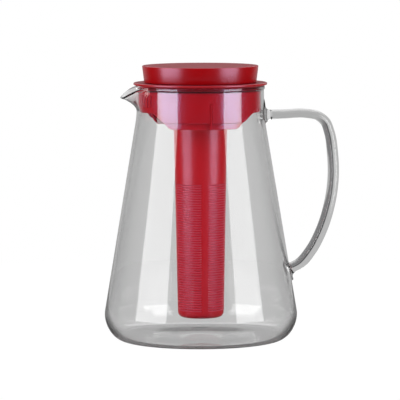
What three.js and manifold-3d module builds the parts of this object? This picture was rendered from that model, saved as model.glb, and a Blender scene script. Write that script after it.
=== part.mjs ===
// Iced tea maker. A blown glass jug with a pinched spout and a welded glass handle carries a
// plastic lid. The lid turns in a silicone ring between pouring and closed, its cap pulls off,
// and a long slotted infuser hangs under it on a crown with two keys.
// Millimetres, +Z up. The origin is the centre of the jug's flat base. The spout points
// along -X, the handle along +X, and the lid's front slit faces -Y.

import * as THREE from "three";
import { mergeVertices } from "three/addons/utils/BufferGeometryUtils.js";
import Module from "manifold-3d";

const wasm = await Module();
wasm.setup();

// Driving dimensions in millimetres and degrees

const seatGap = 0.3;
const overrun = 2;

const jug = {
  height: 209.2,
  neckRadius: 52.3,
  neckHeight: 23.7,
  shoulderRound: 7,
  bodyRadius: 79.9,
  cornerRadius: 18,
  innerCornerRadius: 13,
  wall: 2,
  floorThickness: 5.5,
};

const spout = {
  reach: 13.5,
  droop: 9.2,
  depth: 21,
  halfAngle: 30,
};

const handle = {
  topDepth: 23.9,
  footHeight: 60,
  standOff: 53.4,
  width: 14,
  topThickness: 7,
  gripThickness: 9.1,
  weldDepth: 3,
  flareLength: 11,
  upperPadHeight: 17,
  lowerPadHeight: 16,
  padWidth: 19,
};

// Places along the handle's centre line, from the upper weld to the lower one: a share of the
// stand-off from the jug's wall, and a share of the height between the two welds
const handleLineShares = [
  [0, 1],
  [0.331, 1],
  [0.673, 1],
  [0.859, 0.983],
  [0.963, 0.944],
  [1, 0.878],
  [0.996, 0.727],
  [0.946, 0.575],
  [0.808, 0.387],
  [0.624, 0.227],
  [0.406, 0.094],
  [0.187, 0.005],
  [-0.008, -0.032],
];

const lid = {
  flangeRadius: 54.9,
  thickness: 2.6,
  edgeRound: 0.8,
  collarRadius: 49.6,
  collarWall: 2.4,
  collarHighLength: 21.2,
  collarLowLength: 28.6,
  openingRadius: 40,
  lipWall: 2,
  slitWidth: 3.2,
  slitLength: 16,
};

const pourSlots = {
  count: 11,
  pitchAngle: 5.5,
  width: 2,
  height: 9.8,
  depthBelowFlange: 6.7,
};

const neckRing = {
  thickness: 1.2,
  height: 2.2,
  depthBelowFlange: 1.6,
};

const cap = {
  height: 13.6,
  topRadius: 47.8,
  footRadius: 46.1,
  edgeRound: 1.2,
  wall: 2.2,
  plugRadius: 39.2,
  plugWall: 2.8,
  plugDepth: 5.6,
};

const capRing = {
  thickness: 1.4,
  height: 1.8,
  bite: 0.9,
};

const crown = {
  thickness: 1.9,
  skirtWall: 2,
  skirtLength: 30.4,
  sideLength: 2.5,
  ledgeWall: 2,
  keyWidth: 2.2,
};

const tube = {
  mouthRadius: 22.5,
  footRadius: 18.9,
  footHeight: 18.4,
  cornerRadius: 4.5,
  wall: 1.6,
  floorThickness: 1.8,
  flangeRadius: 26,
  flangeThickness: 1.6,
};

const strainer = {
  plainFootLength: 6.2,
  plainTopLength: 74.4,
  pitch: 2.03,
  slotHeight: 0.9,
  columns: 4,
  ribAngle: 17,
};

// The wave in the lower edge of the collar and of the crown's skirts: low at the front and the
// back, high towards the spout and the handle. Angles are from the middle of the low part.
const wave = {
  centreAngle: 96,
  collarStart: 38,
  collarEnd: 56,
  skirtStart: 32,
  skirtEnd: 70,
};

// How far the surface of the spout leads its edge: shares of a whole, used as exponents
const spoutReachPower = 1.6;
const spoutDroopPower = 1.3;
const spoutDroopAcrossPower = 1.5;

// Counts of facets
const facets = 40;
const cornerSteps = 3;
const neckSteps = 4;
const handleSteps = 22;
const handleSides = 8;
const slotSteps = 3;
const waveStepAngle = 5;
const plainStepAngle = 30;

// Directions about +Z in degrees
const fullTurn = 360;
const spoutAngle = 180;
const frontAngle = -90;
const frontAndBack = [frontAngle, -frontAngle];

// Heights that follow from the driving dimensions

const shoulderHeight = jug.height - jug.neckHeight;
const flangeBottom = jug.height + seatGap;
const flangeTop = flangeBottom + lid.thickness;
const collarInner = lid.collarRadius - lid.collarWall;
const plugBottom = flangeTop + seatGap - cap.plugDepth;
const crownTop = plugBottom - 2 * seatGap;
const crownBottom = crownTop - crown.thickness;
const crownRadius = collarInner - seatGap;
const ledgeTop = crownTop - tube.flangeThickness - seatGap;
const tubeFlangeBottom = ledgeTop + seatGap;
const firstRowHeight = tube.footHeight + strainer.plainFootLength;
const slotBandHeight = tubeFlangeBottom - strainer.plainTopLength - firstRowHeight;
const slotRowCount = Math.floor(slotBandHeight / strainer.pitch);

const radians = THREE.MathUtils.degToRad;

// A closed solid from a geometry: vertices merged, flat triangles dropped, faces turned out.
function solidFrom(geometry) {
  const bare = new THREE.BufferGeometry();
  bare.setAttribute("position", geometry.getAttribute("position"));
  bare.setIndex(geometry.getIndex());
  const merged = mergeVertices(bare);
  const points = merged.getAttribute("position");
  const corners = merged.getIndex().array;
  const kept = [];
  let volume = 0;
  const [a, b, c] = [new THREE.Vector3(), new THREE.Vector3(), new THREE.Vector3()];
  for (let i = 0; i < corners.length; i += 3) {
    const [p, q, r] = corners.slice(i, i + 3);
    if (p === q || q === r || r === p) continue;
    kept.push(p, q, r);
    a.fromBufferAttribute(points, p);
    b.fromBufferAttribute(points, q);
    c.fromBufferAttribute(points, r);
    volume += a.dot(b.cross(c));
  }
  if (volume < 0) kept.reverse();
  const mesh = new wasm.Mesh({
    numProp: 3,
    vertProperties: new Float32Array(points.array),
    triVerts: new Uint32Array(kept),
  });
  return new wasm.Manifold(mesh);
}

function geometryFrom(solid) {
  const mesh = solid.getMesh();
  const geometry = new THREE.BufferGeometry();
  geometry.setAttribute("position", new THREE.BufferAttribute(mesh.vertProperties, 3));
  geometry.setIndex(new THREE.BufferAttribute(mesh.triVerts, 1));
  geometry.computeVertexNormals();
  return geometry;
}

// A profile of (radius, height) points turned about +Z.
function lathe(points, count = facets) {
  return new THREE.LatheGeometry(points, count).rotateX(Math.PI / 2);
}

function profile(...pairs) {
  return pairs.map(([radius, height]) => new THREE.Vector2(radius, height));
}

function closedProfile(...pairs) {
  return profile(...pairs, pairs[0]);
}

// Four-cornered faces between rows of points. Each row has the same count of points.
function skin(rows, triangles, closedAcross, skip = () => false) {
  for (let i = 0; i + 1 < rows.length; i++) {
    const count = rows[i].length;
    for (let j = 0; j < (closedAcross ? count : count - 1); j++) {
      if (skip(i, j)) continue;
      const next = (j + 1) % count;
      triangles.push(rows[i][j], rows[i][next], rows[i + 1][next]);
      triangles.push(rows[i][j], rows[i + 1][next], rows[i + 1][j]);
    }
  }
}

function geometryOfTriangles(triangles) {
  return new THREE.BufferGeometry().setFromPoints(triangles).setIndex(triangles.map((_, i) => i));
}

// A closed profile turned through chosen angles, each point's height passed through lift.
function turned(points, angles, lift) {
  const rows = angles.map((angle) =>
    points.map(
      (p) =>
        new THREE.Vector3(p.x * Math.cos(angle), p.x * Math.sin(angle), lift(p.y, angle)),
    ),
  );
  rows.push(rows[0]);
  const triangles = [];
  skin(rows, triangles, true);
  return geometryOfTriangles(triangles);
}

// A box whose middle lies at a radius and an angle about +Z, its length along the radius.
function radialBox(length, width, height, radius, middleHeight, angle) {
  return new THREE.BoxGeometry(length, width, height)
    .translate(radius, 0, middleHeight)
    .rotateZ(angle);
}

function cutAll(solid, geometries) {
  return geometries.reduce((rest, geometry) => rest.subtract(solidFrom(geometry)), solid);
}

// Jug body

// The slope of the cone off the upright: the line from the shoulder that touches the corner.
function coneSlope(centre, cornerRadius, shoulder) {
  const rise = shoulder.clone().sub(centre);
  return rise.angle() - Math.acos(cornerRadius / rise.length());
}

// The wall's profile from the bottom of its corner to the top of its shoulder: a round corner,
// a straight cone that leaves it as a tangent, and a short curve into the upright neck.
function wallProfile(bodyRadius, cornerRadius, bottom, neckRadius) {
  const centre = new THREE.Vector2(bodyRadius - cornerRadius, bottom + cornerRadius);
  const shoulder = new THREE.Vector2(neckRadius, shoulderHeight);
  const tangentAngle = coneSlope(centre, cornerRadius, shoulder);
  const slant = new THREE.Vector2(Math.sin(tangentAngle), -Math.cos(tangentAngle));
  const coneTop = shoulder.clone().addScaledVector(slant, jug.shoulderRound);
  const path = new THREE.Path();
  path.moveTo(centre.x, bottom);
  path.absarc(centre.x, centre.y, cornerRadius, -Math.PI / 2, tangentAngle);
  path.lineTo(coneTop.x, coneTop.y);
  path.quadraticCurveTo(shoulder.x, shoulder.y, neckRadius, shoulder.y + jug.shoulderRound);
  return path.getPoints(cornerSteps);
}

// The radius of the jug's outer wall at a height on its cone.
function coneRadiusAt(height) {
  const centre = new THREE.Vector2(jug.bodyRadius - jug.cornerRadius, jug.cornerRadius);
  const shoulder = new THREE.Vector2(jug.neckRadius, shoulderHeight);
  const slope = coneSlope(centre, jug.cornerRadius, shoulder);
  return jug.neckRadius + (shoulderHeight - height) * Math.tan(slope);
}

function neckProfile(radius) {
  const bottom = shoulderHeight + jug.shoulderRound;
  const top = jug.height - jug.wall / 2;
  const points = [];
  for (let i = 1; i < neckSteps; i++) {
    points.push(new THREE.Vector2(radius, THREE.MathUtils.lerp(bottom, top, i / neckSteps)));
  }
  return points;
}

function jugProfile() {
  const innerRadius = jug.neckRadius - jug.wall;
  const outer = wallProfile(jug.bodyRadius, jug.cornerRadius, 0, jug.neckRadius);
  const inner = wallProfile(
    jug.bodyRadius - jug.wall,
    jug.innerCornerRadius,
    jug.floorThickness,
    innerRadius,
  );
  const rim = new THREE.Path();
  rim.absarc(jug.neckRadius - jug.wall / 2, jug.height - jug.wall / 2, jug.wall / 2, 0, Math.PI);
  return [
    new THREE.Vector2(0, 0),
    ...outer,
    ...neckProfile(jug.neckRadius),
    ...rim.getPoints(2),
    ...neckProfile(innerRadius).reverse(),
    ...inner.reverse(),
    new THREE.Vector2(0, jug.floorThickness),
  ];
}

// Pinches the neck out into the spout. Across the spout the push is a raised cosine, and it
// grows from nothing at the spout's root to its full reach at the rim, which droops with it.
function pinchSpout(geometry) {
  const points = geometry.getAttribute("position");
  const rootHeight = jug.height - spout.depth;
  const point = new THREE.Vector3();
  for (let i = 0; i < points.count; i++) {
    point.fromBufferAttribute(points, i);
    const radius = Math.hypot(point.x, point.y);
    const angle = Math.atan2(point.y, -point.x);
    const across = Math.min(Math.abs(angle) / radians(spout.halfAngle), 1);
    const push = Math.cos((across * Math.PI) / 2) ** 2;
    const up = Math.max((point.z - rootHeight) / spout.depth, 0);
    const pushed = radius + spout.reach * push * up ** spoutReachPower;
    const drop = spout.droop * push ** spoutDroopAcrossPower * up ** spoutDroopPower;
    if (radius === 0) continue;
    points.setXYZ(i, (point.x * pushed) / radius, (point.y * pushed) / radius, point.z - drop);
  }
  return geometry;
}

function jugBody() {
  return solidFrom(pinchSpout(lathe(jugProfile())));
}

// Jug handle

// The shares are measured from the straight line between the two places on the jug's wall.
function handleLine() {
  const topHeight = jug.height - handle.topDepth;
  const footRadius = coneRadiusAt(handle.footHeight);
  const points = handleLineShares.map(([out, up]) => {
    const wallRadius = THREE.MathUtils.lerp(footRadius, jug.neckRadius, up);
    const height = THREE.MathUtils.lerp(handle.footHeight, topHeight, up);
    return new THREE.Vector3(wallRadius + out * handle.standOff, 0, height);
  });
  const start = points[0].clone();
  start.x -= handle.weldDepth;
  const last = points[points.length - 1];
  const end = last.clone().sub(points[points.length - 2]).setLength(handle.weldDepth).add(last);
  return new THREE.CatmullRomCurve3([start, ...points, end]);
}

// A flat oval bar of glass, thicker where the hand holds it, that flares into a pad at each end.
function handleBar() {
  const line = handleLine();
  const length = line.getLength();
  const flareSpan = handle.flareLength + handle.weldDepth;
  const side = new THREE.Vector3(0, 1, 0);
  const rows = [];
  for (let i = 0; i <= handleSteps; i++) {
    const share = i / handleSteps;
    const along = share * length;
    const upperFlare = Math.max(1 - along / flareSpan, 0) ** 2;
    const lowerFlare = Math.max(1 - (length - along) / flareSpan, 0) ** 2;
    const grip = THREE.MathUtils.smoothstep(share, 0, 1 / 2);
    let thickness = THREE.MathUtils.lerp(handle.topThickness, handle.gripThickness, grip);
    thickness = THREE.MathUtils.lerp(thickness, handle.upperPadHeight, upperFlare);
    thickness = THREE.MathUtils.lerp(thickness, handle.lowerPadHeight, lowerFlare);
    const width = THREE.MathUtils.lerp(handle.width, handle.padWidth, upperFlare + lowerFlare);
    const middle = line.getPointAt(share);
    const out = side.clone().cross(line.getTangentAt(share));
    const row = [];
    for (let j = 0; j < handleSides; j++) {
      const angle = (2 * Math.PI * j) / handleSides;
      row.push(
        middle
          .clone()
          .addScaledVector(side, (Math.cos(angle) * width) / 2)
          .addScaledVector(out, (Math.sin(angle) * thickness) / 2),
      );
    }
    rows.push(row);
  }
  const triangles = [];
  skin(rows, triangles, true);
  for (const [row, middle] of [
    [rows[0].toReversed(), line.getPointAt(0)],
    [rows[handleSteps], line.getPointAt(1)],
  ]) {
    row.forEach((point, j) => triangles.push(middle, point, row[(j + 1) % handleSides]));
  }
  return solidFrom(geometryOfTriangles(triangles));
}

// The bar ends where it meets the wall, so what reaches inside the jug is cut away.
function jugHandle() {
  const outline = wallProfile(
    jug.bodyRadius + seatGap,
    jug.cornerRadius + seatGap,
    -seatGap,
    jug.neckRadius + seatGap,
  );
  const top = jug.height + overrun;
  const inside = lathe([
    new THREE.Vector2(0, -seatGap),
    ...outline,
    new THREE.Vector2(jug.neckRadius + seatGap, top),
    new THREE.Vector2(0, top),
  ]);
  return handleBar().subtract(solidFrom(inside));
}

// Lid

// The height of a wavy edge at an angle about +Z, the same on the front and the back half.
function waveHeight(angle, low, high, start, end) {
  const fromFront = Math.abs(Math.atan2(Math.sin(angle), Math.cos(angle)));
  const away = Math.abs(fromFront - radians(wave.centreAngle));
  const share = THREE.MathUtils.smoothstep(away, radians(start), radians(end));
  return THREE.MathUtils.lerp(low, high, share);
}

// Angles round +Z with steps close enough for the slopes of a wavy edge.
function waveAngles(start, end) {
  const angles = new Set();
  for (const middle of [-wave.centreAngle, wave.centreAngle]) {
    for (const side of [-1, 1]) {
      for (let away = start; away <= end; away += waveStepAngle) {
        angles.add((middle + side * away + fullTurn) % fullTurn);
      }
      angles.add((middle + side * end + fullTurn) % fullTurn);
    }
  }
  for (let angle = 0; angle < fullTurn; angle += plainStepAngle) {
    angles.add(angle);
  }
  return [...angles].sort((a, b) => a - b).map(radians);
}

// The solid below a wavy edge, which cuts it into a wall between two radii.
function waveCutter(innerRadius, outerRadius, bottom, low, high, start, end) {
  const inner = innerRadius - overrun;
  const outer = outerRadius + overrun;
  const points = profile([inner, bottom], [outer, bottom], [outer, high], [inner, high]);
  return turned(points, waveAngles(start, end), (height, angle) =>
    height === bottom ? height : waveHeight(angle, low, high, start, end),
  );
}

function lidProfile() {
  const collarEnd = flangeBottom - lid.collarLowLength - overrun;
  const grooveTop = flangeBottom - neckRing.depthBelowFlange + seatGap;
  const grooveBottom = grooveTop - neckRing.height - 2 * seatGap;
  const grooveRadius = jug.neckRadius - jug.wall - 2 * seatGap - neckRing.thickness;
  const lipBottom = crownTop + seatGap;
  const edgeInner = lid.flangeRadius - lid.edgeRound;
  return closedProfile(
    [lid.openingRadius, flangeTop],
    [edgeInner, flangeTop],
    [lid.flangeRadius, flangeTop - lid.edgeRound],
    [lid.flangeRadius, flangeBottom + lid.edgeRound],
    [edgeInner, flangeBottom],
    [lid.collarRadius, flangeBottom],
    [lid.collarRadius, grooveTop],
    [grooveRadius, grooveTop],
    [grooveRadius, grooveBottom],
    [lid.collarRadius, grooveBottom],
    [lid.collarRadius, collarEnd],
    [collarInner, collarEnd],
    [collarInner, flangeBottom],
    [lid.openingRadius + lid.lipWall, flangeBottom],
    [lid.openingRadius + lid.lipWall, lipBottom],
    [lid.openingRadius, lipBottom],
  );
}

// The slots that strain the tea on its way to the spout, centred on the spout.
function pourSlotCutters() {
  const cutters = [];
  const middle = flangeBottom - pourSlots.depthBelowFlange - pourSlots.height / 2;
  const radius = (lid.collarRadius + collarInner) / 2;
  for (let i = 0; i < pourSlots.count; i++) {
    const angle = spoutAngle + (i - (pourSlots.count - 1) / 2) * pourSlots.pitchAngle;
    cutters.push(
      radialBox(
        lid.collarWall + 2 * overrun,
        pourSlots.width,
        pourSlots.height,
        radius,
        middle,
        radians(angle),
      ),
    );
  }
  return cutters;
}

// The front and the back slit, open at the bottom, in which the crown's keys run.
function slitCutters() {
  const low = flangeBottom - lid.collarLowLength;
  const height = lid.slitLength + overrun;
  const radius = (lid.collarRadius + collarInner) / 2;
  return frontAndBack.map((angle) =>
    radialBox(
      lid.collarWall + 2 * overrun,
      lid.slitWidth,
      height,
      radius,
      low + lid.slitLength - height / 2,
      radians(angle),
    ),
  );
}

function lidBase() {
  const edge = waveCutter(
    collarInner,
    lid.collarRadius,
    flangeBottom - lid.collarLowLength - 2 * overrun,
    flangeBottom - lid.collarLowLength,
    flangeBottom - lid.collarHighLength,
    wave.collarStart,
    wave.collarEnd,
  );
  return cutAll(solidFrom(lathe(lidProfile())), [edge, ...pourSlotCutters(), ...slitCutters()]);
}

function neckGasket() {
  const outer = jug.neckRadius - jug.wall - seatGap;
  const inner = outer - neckRing.thickness;
  const top = flangeBottom - neckRing.depthBelowFlange;
  const bottom = top - neckRing.height;
  const points = closedProfile([outer, top], [outer, bottom], [inner, bottom], [inner, top]);
  return solidFrom(lathe(points));
}

// Cap

function capShell() {
  const foot = flangeTop + seatGap;
  const top = foot + cap.height;
  const ceiling = top - cap.wall;
  const grooveRadius = lid.openingRadius - 2 * seatGap - capRing.thickness;
  const grooveBottom = plugBottom + capRing.bite - seatGap;
  const grooveTop = grooveBottom + capRing.height + 2 * seatGap;
  const points = profile(
    [0, top],
    [cap.topRadius - cap.edgeRound, top],
    [cap.topRadius, top - cap.edgeRound],
    [cap.footRadius, foot],
    [cap.footRadius - cap.wall, foot],
    [cap.topRadius - cap.wall, ceiling],
    [cap.plugRadius, ceiling],
    [cap.plugRadius, grooveTop],
    [grooveRadius, grooveTop],
    [grooveRadius, grooveBottom],
    [cap.plugRadius, grooveBottom],
    [cap.plugRadius, plugBottom],
    [cap.plugRadius - cap.plugWall, plugBottom],
    [cap.plugRadius - cap.plugWall, ceiling],
    [0, ceiling],
  );
  return solidFrom(lathe(points));
}

function capSeal() {
  const outer = lid.openingRadius - seatGap;
  const inner = outer - capRing.thickness;
  const bottom = plugBottom + capRing.bite;
  const top = bottom + capRing.height;
  const points = closedProfile([outer, top], [outer, bottom], [inner, bottom], [inner, top]);
  return solidFrom(lathe(points));
}

// Infuser

// The plate that closes the collar, with a ledge in which the tube's flange lies flush, a skirt
// at the front and one at the back. Between the skirts the tea reaches the pour slots.
function infuserCrown() {
  const mouth = tube.mouthRadius + seatGap;
  const recess = tube.flangeRadius + seatGap;
  const ledgeOuter = recess + crown.ledgeWall;
  const ledgeBottom = ledgeTop - crown.thickness;
  const skirtInner = crownRadius - crown.skirtWall;
  const skirtBottom = crownTop - crown.skirtLength;
  const body = closedProfile(
    [mouth, ledgeTop],
    [recess, ledgeTop],
    [recess, crownTop],
    [crownRadius, crownTop],
    [crownRadius, skirtBottom - overrun],
    [skirtInner, skirtBottom - overrun],
    [skirtInner, crownBottom],
    [ledgeOuter, crownBottom],
    [ledgeOuter, ledgeBottom],
    [mouth, ledgeBottom],
  );
  const edge = waveCutter(
    skirtInner,
    crownRadius,
    skirtBottom - 2 * overrun,
    skirtBottom,
    crownBottom - crown.sideLength,
    wave.skirtStart,
    wave.skirtEnd,
  );
  const skirted = cutAll(solidFrom(lathe(body)), [edge]);
  return crownKeys(skirtBottom).reduce((whole, key) => whole.add(solidFrom(key)), skirted);
}

function crownKeys(skirtBottom) {
  const slitTop = flangeBottom - lid.collarLowLength + lid.slitLength;
  const height = slitTop - seatGap - skirtBottom;
  const length = lid.collarRadius - skirtMiddle();
  return frontAndBack.map((angle) =>
    radialBox(
      length,
      crown.keyWidth,
      height,
      skirtMiddle() + length / 2,
      skirtBottom + height / 2,
      radians(angle),
    ),
  );
}

function skirtMiddle() {
  return crownRadius - crown.skirtWall / 2;
}

// The angles at which the tube's facets meet: a plain rib, then the columns of slots.
function tubeAngles() {
  const quarter = fullTurn / strainer.columns;
  const slotAngle = quarter - strainer.ribAngle;
  const angles = [];
  for (let column = 0; column < strainer.columns; column++) {
    const start = frontAngle - strainer.ribAngle / 2 + column * quarter;
    angles.push(start);
    for (let step = 0; step < slotSteps; step++) {
      angles.push(start + strainer.ribAngle + (step / slotSteps) * slotAngle);
    }
  }
  return angles.map(radians);
}

function tubeRadiusAt(height) {
  const share = (height - tube.footHeight) / (tubeFlangeBottom - tube.footHeight);
  return THREE.MathUtils.lerp(tube.footRadius, tube.mouthRadius, share);
}

// The outer and the inner profile of the tube, point for point, with the heights of the slots.
function tubeProfiles() {
  const outer = [];
  const inner = [];
  const slotRows = new Set();
  const innerCorner = tube.cornerRadius - tube.wall;
  for (let i = 0; i <= cornerSteps; i++) {
    const angle = (Math.PI / 2) * (i / cornerSteps);
    const centre = tube.footRadius - tube.cornerRadius;
    const out = Math.sin(angle);
    const down = Math.cos(angle);
    outer.push([
      centre + tube.cornerRadius * out,
      tube.footHeight + tube.cornerRadius * (1 - down),
    ]);
    inner.push([
      centre + innerCorner * out,
      tube.footHeight + tube.floorThickness + innerCorner * (1 - down),
    ]);
  }
  for (let row = 0; row < slotRowCount; row++) {
    const bottom = firstRowHeight + row * strainer.pitch;
    slotRows.add(outer.length + 1);
    for (const height of [bottom, bottom + strainer.slotHeight]) {
      outer.push([tubeRadiusAt(height), height]);
      inner.push([tubeRadiusAt(height) - tube.wall, height]);
    }
  }
  outer.push(
    [tubeRadiusAt(tubeFlangeBottom), tubeFlangeBottom],
    [tube.flangeRadius, tubeFlangeBottom],
    [tube.flangeRadius, crownTop],
  );
  const mouth = tubeRadiusAt(tubeFlangeBottom) - tube.wall;
  inner.push([mouth, tubeFlangeBottom], [mouth, tubeFlangeBottom], [mouth, crownTop]);
  outer.unshift([0, tube.footHeight]);
  inner.unshift([0, tube.footHeight + tube.floorThickness]);
  return { outer, inner, slotRows };
}

// The strainer: each slot leaves a hole in the outer and the inner skin, joined by four walls.
function infuserTube() {
  const { outer, inner, slotRows } = tubeProfiles();
  const angles = tubeAngles();
  const ring = ([radius, height]) =>
    angles.map(
      (angle) => new THREE.Vector3(radius * Math.cos(angle), radius * Math.sin(angle), height),
    );
  const outerRows = outer.map(ring);
  const innerRows = inner.map(ring);
  const perColumn = slotSteps + 1;
  const isSlot = (row, side) => slotRows.has(row) && side % perColumn !== 0;
  const triangles = [];
  skin(outerRows, triangles, true, isSlot);
  skin(innerRows.toReversed(), triangles, true, (row, side) =>
    isSlot(innerRows.length - 2 - row, side),
  );
  skin([outerRows.at(-1), innerRows.at(-1)], triangles, true);
  for (const row of slotRows) {
    for (let column = 0; column < strainer.columns; column++) {
      const first = column * perColumn + 1;
      slotWalls(outerRows, innerRows, row, first, triangles);
    }
  }
  return solidFrom(geometryOfTriangles(triangles));
}

function slotWalls(outerRows, innerRows, row, first, triangles) {
  const around = outerRows[0].length;
  const sides = Array.from({ length: slotSteps + 1 }, (_, i) => (first + i) % around);
  const lower = sides.map((side) => [row, side]);
  const upper = sides.toReversed().map((side) => [row + 1, side]);
  const loop = [...lower, ...upper, lower[0]];
  const edge = (rows) => loop.map(([r, side]) => rows[r][side]);
  skin([edge(outerRows), edge(innerRows)], triangles, false);
}

// Materials

const glass = (name) =>
  new THREE.MeshStandardMaterial({
    name,
    color: 0xdfe4e3,
    roughness: 0.05,
    metalness: 0,
    transparent: true,
    opacity: 0.35,
  });

const redPlastic = (name) =>
  new THREE.MeshStandardMaterial({ name, color: 0xa30d1a, roughness: 0.35, metalness: 0 });

const silicone = (name) =>
  new THREE.MeshStandardMaterial({ name, color: 0x9c1420, roughness: 0.7, metalness: 0 });

// The assembly: the infuser and the cap hang on the lid, and the lid stands in the jug.

function piece(name, solid, material) {
  const mesh = new THREE.Mesh(geometryFrom(solid), material(name + "_material"));
  mesh.name = name;
  return mesh;
}

const infuser = new THREE.Group();
infuser.add(piece("infuser_crown", infuserCrown(), redPlastic));
infuser.add(piece("infuser_tube", infuserTube(), redPlastic));

const capGroup = new THREE.Group();
capGroup.add(piece("cap_shell", capShell(), redPlastic));
capGroup.add(piece("cap_seal", capSeal(), silicone));

const lidGroup = new THREE.Group();
lidGroup.add(piece("lid_base", lidBase(), redPlastic));
lidGroup.add(capGroup, infuser);

const teaMaker = new THREE.Group();
teaMaker.add(piece("jug_body", jugBody(), glass));
teaMaker.add(piece("jug_handle", jugHandle(), glass));
teaMaker.add(piece("neck_gasket", neckGasket(), silicone));
teaMaker.add(lidGroup);

export default teaMaker;
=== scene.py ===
"""The looks of an iced tea maker: a blown glass jug, a red lid that turns in its neck, a cap and
a slotted infuser. Each piece is worked out on grids in millimetres, in the frame's own place."""

import logging
import math
from dataclasses import dataclass, field
from enum import Enum

import bmesh
import bpy
import numpy as np
from mathutils import Euler, Matrix


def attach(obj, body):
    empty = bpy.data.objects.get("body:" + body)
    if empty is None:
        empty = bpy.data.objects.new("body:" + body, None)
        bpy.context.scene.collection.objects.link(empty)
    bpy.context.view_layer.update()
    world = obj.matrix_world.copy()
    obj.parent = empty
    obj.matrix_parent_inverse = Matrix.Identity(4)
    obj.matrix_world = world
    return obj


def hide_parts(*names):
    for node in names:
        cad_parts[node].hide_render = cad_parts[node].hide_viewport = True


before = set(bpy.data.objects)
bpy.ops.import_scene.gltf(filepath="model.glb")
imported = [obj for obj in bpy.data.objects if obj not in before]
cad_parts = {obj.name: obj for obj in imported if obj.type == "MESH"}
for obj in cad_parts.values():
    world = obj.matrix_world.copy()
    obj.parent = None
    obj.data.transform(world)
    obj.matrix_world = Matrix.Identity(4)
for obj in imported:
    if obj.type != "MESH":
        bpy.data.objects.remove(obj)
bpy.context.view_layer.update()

log = logging.getLogger("tea_maker")

METRES_PER_MM = 0.001
WELD_DISTANCE = 1e-6
SEAT_GAP = 0.3
FULL_TURN = 360.0
HALF_TURN = 180.0
EDGE_INCLUDED = 1.0001
LEVEL = 0.95
SIDEWAYS = 0.5

Array = np.ndarray
Piece = bpy.types.Object
Socket = bpy.types.NodeSocket
Feed = Socket | float | tuple
Corners = list[tuple[float, float, float]]


class Facing(Enum):
    """A direction about +Z, in degrees from the handle."""

    HANDLE = 0.0
    BACK = 90.0
    SPOUT = 180.0
    FRONT = -90.0


FRONT_AND_BACK = (Facing.FRONT.value, Facing.BACK.value)


class Crease(Enum):
    """How far two faces may turn before the edge between them shows as an edge, in degrees."""

    MOULDED = 38.0
    BLOWN = 180.0


# Colours and shader nodes


def linear(hex_colour: str) -> tuple[float, float, float, float]:
    """Turns six sRGB hex digits into red, green and blue in linear light, and full opacity."""
    shares = [int(hex_colour[i : i + 2], 16) / 255 for i in (0, 2, 4)]
    return (*(s / 12.92 if s <= 0.04045 else ((s + 0.055) / 1.055) ** 2.4 for s in shares), 1.0)


class Shading:
    """The node tree of a material or a world. A feed is an input's value, or what feeds it."""

    def __init__(self, tree: bpy.types.NodeTree) -> None:
        """Starts with an empty tree."""
        self.tree = tree
        tree.nodes.clear()

    def node(self, kind: str, feeds: dict | None = None, **settings: object) -> bpy.types.Node:
        """Adds a node.

        Args:
            kind: Its Blender type, less the word that all of them start with.
            feeds: Its input sockets, and the feed of each.
            settings: Its own properties.

        Returns:
            The node.
        """
        made = self.tree.nodes.new("ShaderNode" + kind)
        for name, value in settings.items():
            setattr(made, name, value)
        for name, feed in (feeds or {}).items():
            if isinstance(feed, Socket):
                self.tree.links.new(feed, made.inputs[name])
            else:
                made.inputs[name].default_value = feed
        return made

    def math(self, operation: str, *feeds: Feed) -> Socket:
        """The outcome of a sum on numbers."""
        return self.node("Math", dict(enumerate(feeds)), operation=operation).outputs[0]

    def vector(self, operation: str, *feeds: Feed) -> Socket:
        """The outcome of a sum on vectors: a number for a dot product, and else a vector."""
        made = self.node("VectorMath", dict(enumerate(feeds)), operation=operation)
        return made.outputs["Value" if operation == "DOT_PRODUCT" else "Vector"]

    def mix(self, factor: Feed, first: Feed, second: Feed) -> Socket:
        """A blend of two numbers, which are inputs 2 and 3: the second one at factor 1."""
        feeds = {"Factor": factor, 2: first, 3: second}
        return self.node("Mix", feeds, data_type="FLOAT").outputs[0]

    def mix_colours(self, factor: Feed, first: Feed, second: Feed) -> Socket:
        """A blend of two colours, which are inputs 6 and 7: the second one at factor 1."""
        feeds = {"Factor": factor, 6: first, 7: second}
        return self.node("Mix", feeds, data_type="RGBA").outputs[2]

    def span(
        self,
        value: Feed,
        ends: tuple[float, float],
        low: Feed = 0.0,
        high: Feed = 1.0,
        curve: str = "SMOOTHSTEP",
    ) -> Socket:
        """Carries a value over from one span to another, from low to high, and holds its ends."""
        start, end = ends
        feeds = {"Value": value, "From Min": start, "From Max": end, "To Min": low, "To Max": high}
        return self.node("MapRange", feeds, interpolation_type=curve).outputs["Result"]

    def noise(self, size_mm: float, detail: float) -> Socket:
        """Soft noise of a size, fixed to the object."""
        where = self.node("TexCoord").outputs["Object"]
        feeds = {"Scale": 1 / (size_mm * METRES_PER_MM), "Detail": detail, "Vector": where}
        return self.node("TexNoise", feeds).outputs["Fac"]

    def bump(self, height: Socket, strength: float, depth_mm: float) -> Socket:
        """The normals of a surface that is this uneven."""
        feeds = {"Strength": strength, "Distance": depth_mm * METRES_PER_MM, "Height": height}
        return self.node("Bump", feeds).outputs["Normal"]

    def backdrop(self, white: float, grey: float) -> tuple[Socket, Socket]:
        """Tells what the eye sees straight, or bent by glass, from what lights and mirrors show.

        Args:
            white: Strength of what is seen straight.
            grey: Strength of what is seen through glass.

        Returns:
            A socket that is 1 for either and else 0, and a socket that holds the strength.
        """
        rays = self.node("LightPath").outputs
        turns = self.math("ADD", rays["Glossy Depth"], rays["Diffuse Depth"])
        return self.math("LESS_THAN", turns, 0.5), self.mix(rays["Is Camera Ray"], grey, white)


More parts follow.
